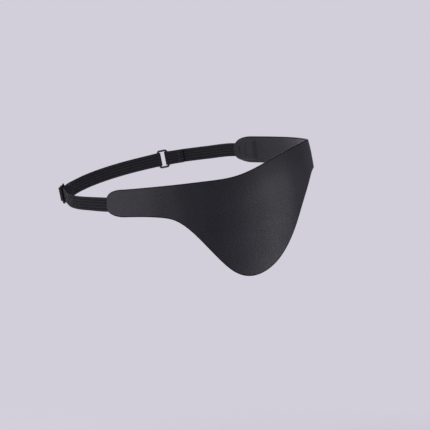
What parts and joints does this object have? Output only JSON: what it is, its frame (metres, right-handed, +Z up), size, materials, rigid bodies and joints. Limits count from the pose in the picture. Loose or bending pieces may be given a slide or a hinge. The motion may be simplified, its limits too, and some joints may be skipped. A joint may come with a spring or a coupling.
{
  "type": "eye patch",
  "caption": "Leather eye patch for the right eye: one-piece lobe with a temple arm and a brow arm, soft lining, and an elastic head strap with a slider and a ring.",
  "frame": {"origin": "middle of the head loop, level with the wearer's pupils", "axes": "+Z up, the wearer faces -Y, the wearer's right side is -X"},
  "size_m": [0.1511, 0.1937, 0.0958],
  "materials": {
    "leather": "satin",
    "lining": "matte",
    "elastic": "matte",
    "plastic": "satin",
    "thread": "satin"
  },
  "bodies": {
    "patch": {"leather_face": "leather", "lining": "lining", "elastic_strap": "elastic", "keeper_strap": "elastic", "right_tab_bar_tack_1": "thread", "right_tab_bar_tack_2": "thread", "left_tab_bar_tack_1": "thread", "left_tab_bar_tack_2": "thread", "keeper_fold_bar_tack": "thread"},
    "slider": {"slider": "plastic", "slider_fold_bar_tack": "thread"},
    "ring": {"ring": "plastic"}
  },
  "joints": [
    {"name": "slider_travel", "type": "hinge", "parent": "patch", "child": "slider", "pos_m": [0, 0.022, 0.0208], "axis": [-0.2477, 0.0484, 0.9676], "range_deg": [-30, 20], "deforming": ["elastic_strap"]},
    {"name": "ring_swing", "type": "hinge", "parent": "patch", "child": "ring", "pos_m": [0.05786, 0.06714, 0.03335], "axis": [-0.2477, 0.0484, 0.9676], "range_deg": [-25, 15], "deforming": ["elastic_strap"]}
  ]
}
